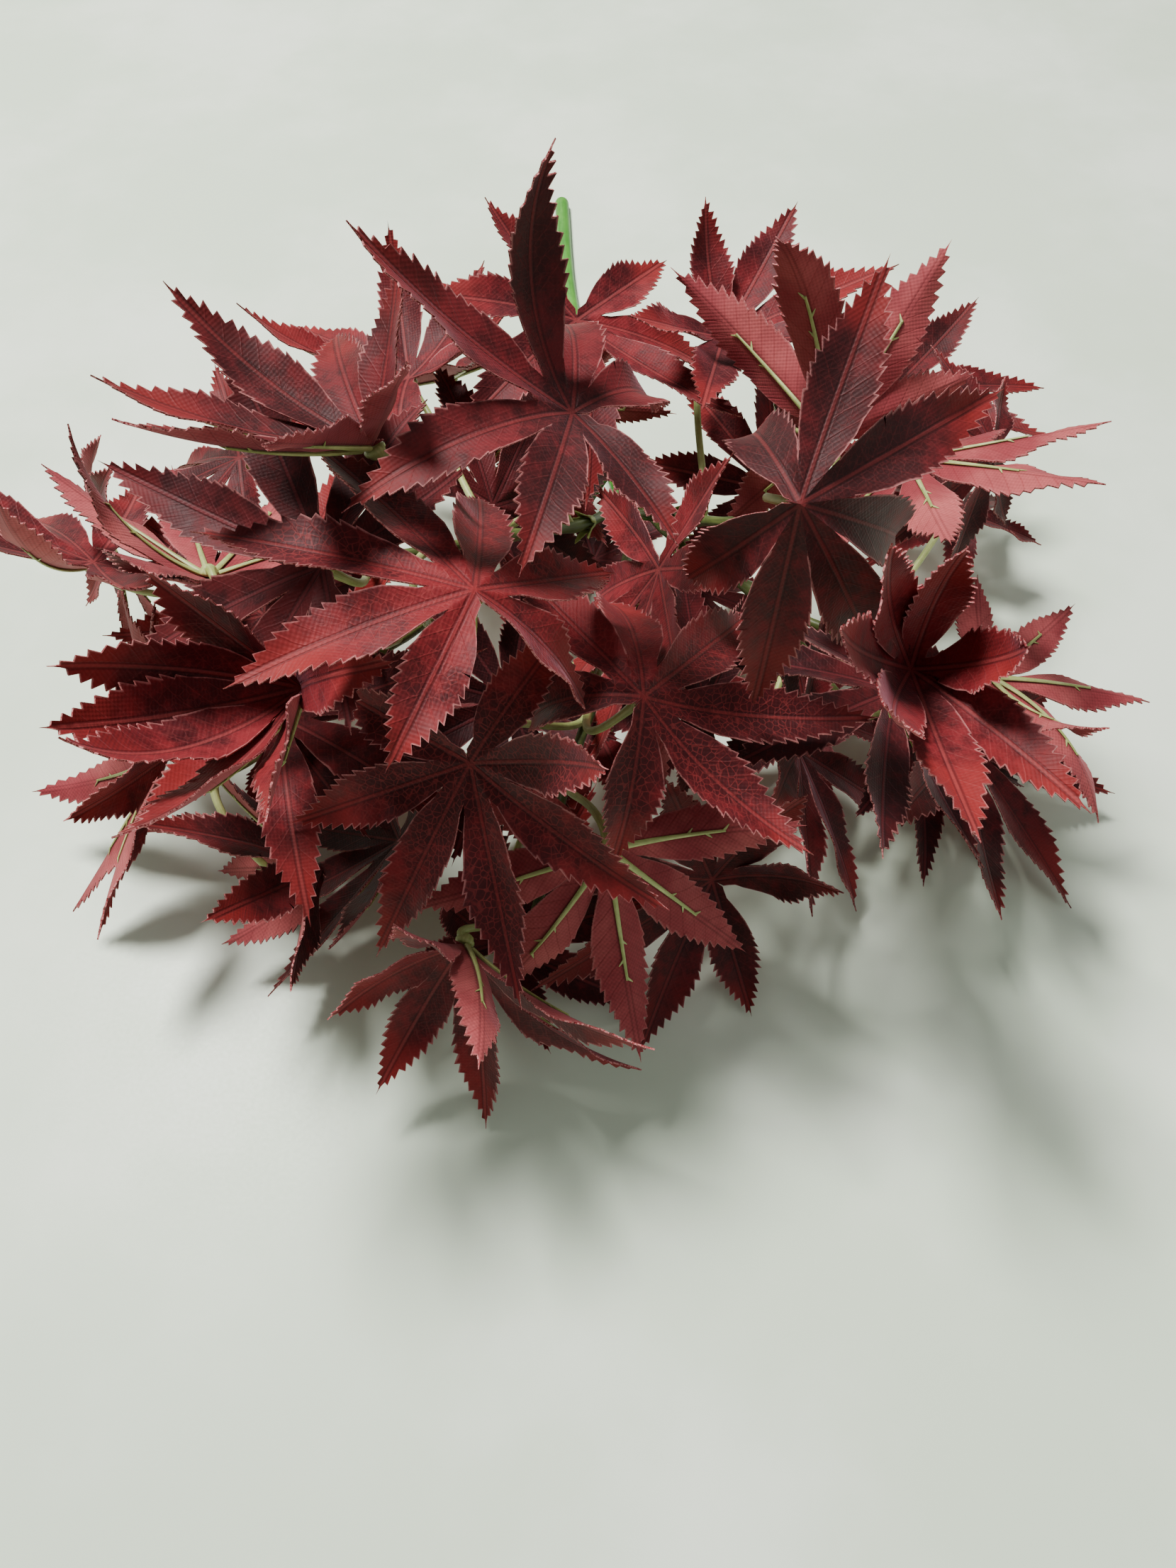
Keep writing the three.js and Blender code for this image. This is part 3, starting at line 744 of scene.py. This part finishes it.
def make_branch(name, stops, leaves):
    """A coated wire branch, with a slight node where each petiole plugs on."""
    moulding = Moulding()
    shares = np.linspace(0, 1, BRANCH_STEPS)
    line = smooth_line(stops, shares)
    radii = BRANCH_RADII[0] + (BRANCH_RADII[1] - BRANCH_RADII[0]) * shares
    for leaf in leaves:
        radii = radii + NODE_SWELL * np.exp(-(((shares - leaf["at"]) / NODE_LENGTH) ** 2))
    moulding.add_bar(line, radii, BRANCH_SIDES)
    layers = moulding.uv_layers()
    piece = mesh_piece(f"coated_{name}", moulding.points, moulding.faces, [branch_coating], None, layers)
    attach(piece, "root")
    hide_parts(name)


def make_handle():
    """The main stem: a thick coated bar with a rounded end and a few leaf-scar rings."""
    moulding = Moulding()
    shares = np.linspace(0, 1, HANDLE_STEPS)
    line = smooth_line(MAIN_STEM_STOPS, shares)
    radii = MAIN_STEM_RADII[0] + (MAIN_STEM_RADII[1] - MAIN_STEM_RADII[0]) * shares
    for ring in HANDLE_RINGS:
        radii = radii + HANDLE_RING_HEIGHT * np.exp(-(((shares - ring) / HANDLE_RING_LENGTH) ** 2))
    outward = unit(line[0] - line[1])
    dome = np.linspace(0.02, math.pi / 2, 8)[:-1]
    cap_line = [line[0] + outward * radii[0] * math.cos(turn) for turn in dome]
    cap_radii = [radii[0] * math.sin(turn) for turn in dome]
    moulding.add_bar([*cap_line, *line], [*cap_radii, *radii], HANDLE_SIDES)
    layers = moulding.uv_layers()
    piece = mesh_piece("coated_main_stem", moulding.points, moulding.faces, [stem_coating], None, layers)
    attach(piece, "root")
    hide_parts("main_stem")


def make_bracts(name, stops, place, core_radius):
    """A collar of small toothed scales that clasps a branch, opening towards its far end."""
    points = []
    faces = []
    uv = []
    centre = smooth_line(stops, [place])[0]
    along = line_direction(stops, place)
    across = unit(np.cross(along, (0.3, 0.1, 0.9)))
    lift = np.cross(along, across)
    for scale in range(BRACTS):
        turn = 2 * math.pi * (scale + 0.3 * swing(scale, 3)) / BRACTS
        out = across * math.cos(turn) + lift * math.sin(turn)
        round_way = np.cross(along, out)
        length = BRACT_LENGTH * (1 + 0.2 * swing(scale, 7))
        first = len(points)
        for row in range(BRACT_ROWS + 1):
            t = row / BRACT_ROWS
            tooth = 1.12 if row % 2 else 0.9
            width = BRACT_WIDTH * (1 - t) ** 0.7 * (0.75 + 0.5 * t) * tooth
            stand = core_radius + 0.15 + BRACT_FLARE * t**1.6
            for share in (-1.0, 0.0, 1.0):
                curl = -0.5 * abs(share) * width * (1 - 0.6 * t)
                on_scale = centre + along * length * t + out * (stand + curl * 0.8)
                points.append(on_scale + round_way * width * share)
        for row in range(BRACT_ROWS):
            for column in range(2):
                start = first + row * 3 + column
                faces.append([start, start + 3, start + 4, start + 1])
                for corner in (start, start + 3, start + 4, start + 1):
                    index = corner - first
                    reach = (index // 3) / BRACT_ROWS * length
                    uv.append((reach / UV_SPAN, (index % 3 - 1) * BRACT_WIDTH / UV_SPAN))
    piece = mesh_piece(name, points, faces, [bract_plastic], None, {"bar": uv})
    thicken = piece.modifiers.new("thickness", "SOLIDIFY")
    thicken.thickness = BRACT_THICKNESS * MM
    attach(piece, "root")

# ---------------------------------------------------------------------------------------------------------
# Materials


def srgb(red, green, blue):
    """A colour given from 0 to 255 as it looks on a screen, as the shader's own numbers."""
    parts = [part / 255 for part in (red, green, blue)]
    return (*(part / 12.92 if part <= 0.04045 else ((part + 0.055) / 1.055) ** 2.4 for part in parts), 1.0)


CLOTH_SHINE = {
    "Specular IOR Level": 0.3,
    "Specular Tint": srgb(255, 214, 216),
    "Sheen Weight": 0.18,
    "Sheen Roughness": 0.38,
    "Sheen Tint": srgb(218, 158, 176),
}
FRAY_PINK = srgb(190, 124, 122)

# Cloth colours by print. net and side are how strongly the fine net and the side veins are printed
PINK_BACK = {"back_deep": srgb(134, 50, 56), "back_pale": srgb(176, 88, 88)}
PRINTS = {
    "burgundy": {
        "dark": srgb(28, 7, 8),
        "deep": srgb(57, 12, 15),
        "bright": srgb(98, 22, 27),
        "tip": srgb(129, 30, 27),
        "tip_from": 0.55,
        "tip_share": 0.6,
        "vein": srgb(123, 44, 44),
        "net": 0.14,
        "side": 0.14,
        **PINK_BACK,
    },
    "crimson": {
        "dark": srgb(46, 9, 13),
        "deep": srgb(75, 16, 22),
        "bright": srgb(118, 28, 34),
        "tip": srgb(140, 37, 34),
        "tip_from": 0.5,
        "tip_share": 0.6,
        "vein": srgb(155, 67, 66),
        "net": 0.14,
        "side": 0.14,
        **PINK_BACK,
    },
    "plum": {
        "dark": srgb(24, 6, 8),
        "deep": srgb(46, 10, 14),
        "bright": srgb(80, 18, 22),
        "tip": srgb(110, 24, 26),
        "tip_from": 0.7,
        "tip_share": 0.5,
        "vein": srgb(110, 44, 48),
        "net": 0.1,
        "side": 0.16,
        **PINK_BACK,
    },
    "veined": {
        "dark": srgb(42, 9, 13),
        "deep": srgb(72, 16, 21),
        "bright": srgb(116, 27, 32),
        "tip": srgb(144, 36, 32),
        "tip_from": 0.6,
        "tip_share": 0.6,
        "vein": srgb(138, 49, 49),
        "net": 0.5,
        "side": 0.2,
        **PINK_BACK,
    },
}


class Shade:
    """A number that changes over a surface. Arithmetic on it adds Math nodes to its finish."""

    def __init__(self, finish, socket):
        self.finish = finish
        self.socket = socket

    def math(self, operation, *values):
        return self.finish.node("ShaderNodeMath", {"operation": operation}, dict(enumerate(values)))

    def __add__(self, other):
        return self.math("ADD", self, other)

    __radd__ = __add__

    def __sub__(self, other):
        return self.math("SUBTRACT", self, other)

    def __rsub__(self, other):
        return self.math("SUBTRACT", other, self)

    def __mul__(self, other):
        return self.math("MULTIPLY", self, other)

    __rmul__ = __mul__

    def __truediv__(self, other):
        return self.math("DIVIDE", self, other)

    def __abs__(self):
        return self.math("ABSOLUTE", self)

    def sine(self):
        return self.math("SINE", self)

    def fraction(self):
        return self.math("FRACT", self)

    def between(self, low, high):
        """0 up to low, 1 from high, and a soft step from one to the other."""
        return self.finish.node(
            "ShaderNodeMapRange",
            {"interpolation_type": "SMOOTHSTEP"},
            {"Value": self, "From Min": low, "From Max": high},
        )


class Finish:
    """A material: its shader with the constants that it starts from, and the nodes that feed it."""

    def __init__(self, name, constants):
        self.material = bpy.data.materials.new(name)
        self.material.use_nodes = True
        self.tree = self.material.node_tree
        self.shader = self.tree.nodes["Principled BSDF"]
        self.feed(self.shader, constants)

    def feed(self, node, inputs):
        for name, value in inputs.items():
            if isinstance(value, Shade):
                self.tree.links.new(value.socket, node.inputs[name])
            else:
                node.inputs[name].default_value = value

    def node(self, kind, settings, inputs, output=0):
        node = self.tree.nodes.new(kind)
        for name, value in settings.items():
            setattr(node, name, value)
        self.feed(node, inputs)
        return Shade(self, node.outputs[output])

    def mix(self, factor, first, second):
        """A colour that goes from first to second as factor goes from 0 to 1."""
        settings = {"data_type": "RGBA", "clamp_factor": True}
        return self.node("ShaderNodeMix", settings, {0: factor, 6: first, 7: second}, 2)

    def tint(self, colour, amount):
        """The colour made darker or lighter: amount 1 leaves it as it is."""
        return self.node("ShaderNodeVectorMath", {"operation": "SCALE"}, {0: colour, "Scale": amount})

    def pair(self, layer):
        """The two numbers of a UV layer."""
        both = self.node("ShaderNodeUVMap", {"uv_map": layer}, {})
        return [self.node("ShaderNodeSeparateXYZ", {}, {0: both}, part) for part in (0, 1)]

    def place(self):
        return self.node("ShaderNodeTexCoord", {}, {}, "Object")

    def spot(self, x, y):
        return self.node("ShaderNodeCombineXYZ", {}, {0: x, 1: y})

    def noise(self, place, scale, detail=2.0, roughness=0.5):
        inputs = {"Vector": place, "Scale": scale, "Detail": detail, "Roughness": roughness}
        return self.node("ShaderNodeTexNoise", {}, inputs)

    def net(self, place, scale):
        """The distance from the edges between cells, for a net of fine veins."""
        settings = {"feature": "DISTANCE_TO_EDGE"}
        return self.node("ShaderNodeTexVoronoi", settings, {"Vector": place, "Scale": scale})

    def paint(self, colour, roughness, height, depth):
        """Feed the shader: the height, from 0 to 1, is depth millimetres deep."""
        bump = self.node("ShaderNodeBump", {}, {"Height": height, "Distance": depth * MM})
        self.feed(self.shader, {"Base Color": colour, "Roughness": roughness, "Normal": bump})
        return self.material


def weave(finish, pitch):
    """A plain weave on the flat cloth: its height, and the threads' own slight changes of shade."""
    warp, weft = finish.pair("cloth")
    turns = math.pi * UV_SPAN / pitch
    height = (warp * turns).sine() * (weft * turns).sine() * 0.5 + 0.5
    warp_slub = finish.noise(finish.spot(warp * UV_SPAN / pitch, weft * UV_SPAN * 0.12), 1.0)
    weft_slub = finish.noise(finish.spot(warp * UV_SPAN * 0.12, weft * UV_SPAN / pitch), 1.0)
    return height, (warp_slub + weft_slub) * 0.5


def pressed_veins(finish):
    """The pressed lines of a lobe: the crease of paired lines, and the side veins that slant from it."""
    along, across = finish.pair("lobe")
    along = along * UV_SPAN
    across = abs(across * UV_SPAN)
    wander = finish.noise(finish.place(), 160.0)
    paired = 1 - abs(across - CREASE_LINE_GAP).between(0.1, 0.4)
    between_lines = 1 - across.between(CREASE_LINE_GAP - 0.25, CREASE_LINE_GAP)
    slant = (along - across * SIDE_VEIN_SLANT + wander * 1.6) / SIDE_VEIN_PITCH
    side = (abs(slant.fraction() - 0.5)).between(0.42, 0.5)
    reach, _ = finish.pair("reach")
    side = side * across.between(0.3, 0.9) * (1 - reach.between(0.86, 0.97))
    return paired, between_lines, side


def cloth_front(name, shades):
    """The printed side: a dark mottled middle with a fine net of veins, and clearer red edges and tips."""
    finish = Finish(name, CLOTH_SHINE)
    place = finish.place()
    height, slub = weave(finish, WEAVE_PITCH)
    paired, between_lines, side = pressed_veins(finish)
    reach, edge = finish.pair("reach")
    warp, weft = finish.pair("cloth")
    flat = finish.spot(warp, weft)

    clouds = finish.noise(place, 30.0, 3.0, 0.55)
    mottle = finish.noise(place, 260.0, 4.0, 0.65)
    middle = (1 - (reach + (clouds - 0.5) * 0.5).between(0.5, 0.88)) * (1 - edge.between(0.5, 1.05) * 0.7)
    patch = (clouds * 0.62 + mottle * 0.38).between(0.42, 0.6)
    colour = finish.mix(patch, shades["deep"], shades["bright"])
    colour = finish.mix(middle * (1 - patch) * 0.6, colour, shades["dark"])
    glow = (reach + (clouds - 0.5) * 1.4).between(shades["tip_from"], shades["tip_from"] + 0.45)
    colour = finish.mix(glow * shades["tip_share"], colour, shades["tip"])
    cells = finish.net(flat, UV_SPAN / VEIN_CELL)
    veinlets = (1 - cells.between(0.01, 0.09)) * middle
    colour = finish.mix(veinlets * shades["net"], colour, shades["vein"])
    colour = finish.mix(side * shades["side"], colour, shades["vein"])
    colour = finish.mix(between_lines * 0.4, colour, shades["vein"])
    colour = finish.mix(paired * 0.45, colour, shades["dark"])
    fray = (edge + (mottle - 0.5) * 0.2).between(0.93, 1.01)
    colour = finish.mix(fray * 0.6, colour, FRAY_PINK)
    # Painted shade: the weave's height darkens the low places between threads, on top of its bump; slub is the
    # threads' own tone
    colour = finish.tint(colour, 0.88 + 0.1 * height + (slub - 0.5) * 0.5)

    roughness = 0.46 + mottle * 0.3
    relief = height * 0.3 + slub * 0.16 + side * 0.3 + between_lines * 0.3 - paired * 0.42 + veinlets * 0.12
    return finish.paint(colour, roughness, relief * 0.6 + 0.3, CLOTH_RELIEF)


def cloth_back(name, shades):
    finish = Finish(name, CLOTH_SHINE)
    place = finish.place()
    height, slub = weave(finish, WEAVE_PITCH)
    paired, between_lines, side = pressed_veins(finish)
    reach, edge = finish.pair("reach")
    clouds = finish.noise(place, 40.0, 3.0, 0.55)
    colour = finish.mix(clouds.between(0.36, 0.66), shades["back_deep"], shades["back_pale"])
    colour = finish.mix(reach.between(0.55, 1.0) * 0.3, colour, shades["back_deep"])
    colour = finish.mix(side * 0.3, colour, shades["bright"])
    colour = finish.mix(paired * 0.35, colour, shades["deep"])
    colour = finish.mix(edge.between(0.92, 1.0) * 0.35, colour, FRAY_PINK)
    # Painted shade: the weave's height darkens the low places between threads, on top of its bump; slub is the
    # threads' own tone
    colour = finish.tint(colour, 0.78 + 0.24 * height + (slub - 0.5) * 0.6)
    relief = height * 0.4 + slub * 0.2 - side * 0.3 - between_lines * 0.25 + 0.5
    return finish.paint(colour, 0.66 + slub * 0.2, relief * 0.6 + 0.1, CLOTH_RELIEF)


def cloth_cut(name, shades):
    """The heat-cut edge: pale broken thread ends."""
    finish = Finish(name, CLOTH_SHINE)
    threads = finish.noise(finish.place(), 2600.0, 1.0)
    colour = finish.mix(threads.between(0.35, 0.65), shades["bright"], FRAY_PINK)
    return finish.paint(colour, 0.7 + threads * 0.2, threads, 0.08)


leaf_finishes = {}


def leaf_materials(print_name):
    """The front, back and cut-edge materials of a leaf with this print, made once."""
    if print_name not in leaf_finishes:
        shades = PRINTS[print_name]
        leaf_finishes[print_name] = [
            cloth_front(f"{print_name}_cloth_front", shades),
            cloth_back(f"{print_name}_cloth_back", shades),
            cloth_cut(f"{print_name}_cloth_cut_edge", shades),
        ]
    return leaf_finishes[print_name]


def moulded_plastic(name, deep, pale, gloss, streak_depth):
    """Coated or moulded plastic: faint streaks, a slightly uneven skin, and paler and darker lengths."""
    finish = Finish(name, {"Specular IOR Level": 0.45, "Coat Roughness": 0.3, "Coat Weight": gloss})
    along, turn = finish.pair("bar")
    place = finish.place()
    lengths = finish.noise(finish.spot(along * UV_SPAN / 14, turn * 1.2), 1.0, 2.0)
    streaks = finish.noise(finish.spot(along * UV_SPAN / 9, turn * 22), 1.0, 2.0)
    skin = finish.noise(place, 900.0, 3.0)
    shade = (lengths * 0.55 + streaks * 0.3 + skin * 0.15).between(0.36, 0.66)
    colour = finish.mix(shade, deep, pale)
    specks = finish.noise(place, 1700.0, 1.0).between(0.66, 0.74)
    colour = finish.mix(specks * 0.35, colour, deep)
    return finish.paint(colour, 0.34 + skin * 0.3, streaks * 0.6 + skin * 0.4, streak_depth)


def pale_stone():
    """The plain pale floor: honed, with very faint clouds."""
    finish = Finish("pale_floor", {"Specular IOR Level": 0.3})
    place = finish.place()
    clouds = finish.noise(place, 7.0, 5.0, 0.6)
    grain = finish.noise(place, 900.0, 2.0)
    colour = finish.mix(clouds.between(0.4, 0.65), srgb(214, 228, 206), srgb(232, 241, 225))
    return finish.paint(colour, 0.32 + grain * 0.16, grain, 0.01)

# ---------------------------------------------------------------------------------------------------------
# The spray

first_leaf = BRANCHES[0]["leaves"][0]
plan_shift = np.array(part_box("leaf_01")[0]) / MM - cad_blade_corner(first_leaf)

frame_plastic = moulded_plastic("moulded_frame", srgb(126, 140, 70), srgb(186, 192, 128), 0.12, 0.05)
bract_plastic = moulded_plastic("bract_scales", srgb(120, 138, 58), srgb(196, 200, 120), 0.1, 0.05)
branch_coating = moulded_plastic("branch_coating", srgb(56, 66, 30), srgb(96, 108, 52), 0.1, 0.08)
stem_coating = moulded_plastic("handle_coating", srgb(56, 124, 36), srgb(88, 156, 54), 0.2, 0.06)

make_handle()
leaf_number = 0
inner_number = 0
for branch in BRANCHES:
    make_branch(branch["name"], branch["stops"], branch["leaves"] + branch["inner_leaves"])
    make_bracts(f"bracts_{branch['name']}", branch["stops"], BRACT_PLACE, BRANCH_RADII[0])
    for leaf in branch["leaves"]:
        leaf_number += 1
        frame_piece = make_frame(leaf, f"leaf_{leaf_number:02d}", branch["stops"])
        blade_piece = make_blade(leaf, leaf_number, f"leaf_{leaf_number:02d}")
        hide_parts(f"leaf_frame_{leaf_number:02d}")
        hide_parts(f"leaf_{leaf_number:02d}")
    for leaf in branch["inner_leaves"]:
        inner_number += 1
        frame_piece = make_frame(leaf, f"inner_leaf_{inner_number:02d}", branch["stops"])
        make_blade(leaf, INNER_SEED + inner_number, f"inner_leaf_{inner_number:02d}")

# ---------------------------------------------------------------------------------------------------------
# Floor, light and camera


def make_floor():
    mesh = bpy.data.meshes.new("floor")
    reach = FLOOR_REACH
    corners = [(-reach, -reach, 0.0), (reach, -reach, 0.0), (reach, reach, 0.0), (-reach, reach, 0.0)]
    mesh.from_pydata(corners, [], [(0, 1, 2, 3)])
    mesh.materials.append(pale_stone())
    floor = bpy.data.objects.new("floor", mesh)
    bpy.context.scene.collection.objects.link(floor)


def add_softbox(name, place, target, size, power, colour):
    light = bpy.data.lights.new(name, "AREA")
    light.shape = "DISK"
    light.size = size
    light.energy = power
    light.color = colour
    lamp = bpy.data.objects.new(name, light)
    lamp.location = place
    lamp.rotation_euler = (Vector(target) - Vector(place)).to_track_quat("-Z", "Y").to_euler()
    bpy.context.scene.collection.objects.link(lamp)


def add_room_light(colour, strength):
    world = bpy.data.worlds.new("room")
    world.use_nodes = True
    background = world.node_tree.nodes["Background"]
    background.inputs["Color"].default_value = colour
    background.inputs["Strength"].default_value = strength
    bpy.context.scene.world = world


def add_camera():
    lens = bpy.data.cameras.new("camera")
    lens.sensor_width = CAMERA_SENSOR
    lens.lens = CAMERA_LENS
    lens.clip_start = 0.01
    camera = bpy.data.objects.new("camera", lens)
    camera.location = [(part + move) * MM for part, move in zip(CAMERA_PLACE, plan_shift)]
    camera.rotation_euler = ((90 - CAMERA_DOWN) * TURN, 0.0, 0.0)
    bpy.context.scene.collection.objects.link(camera)
    bpy.context.scene.camera = camera


make_floor()
for softbox in SOFTBOXES:
    add_softbox(*softbox)
add_room_light(ROOM_COLOUR, ROOM_STRENGTH)
add_camera()
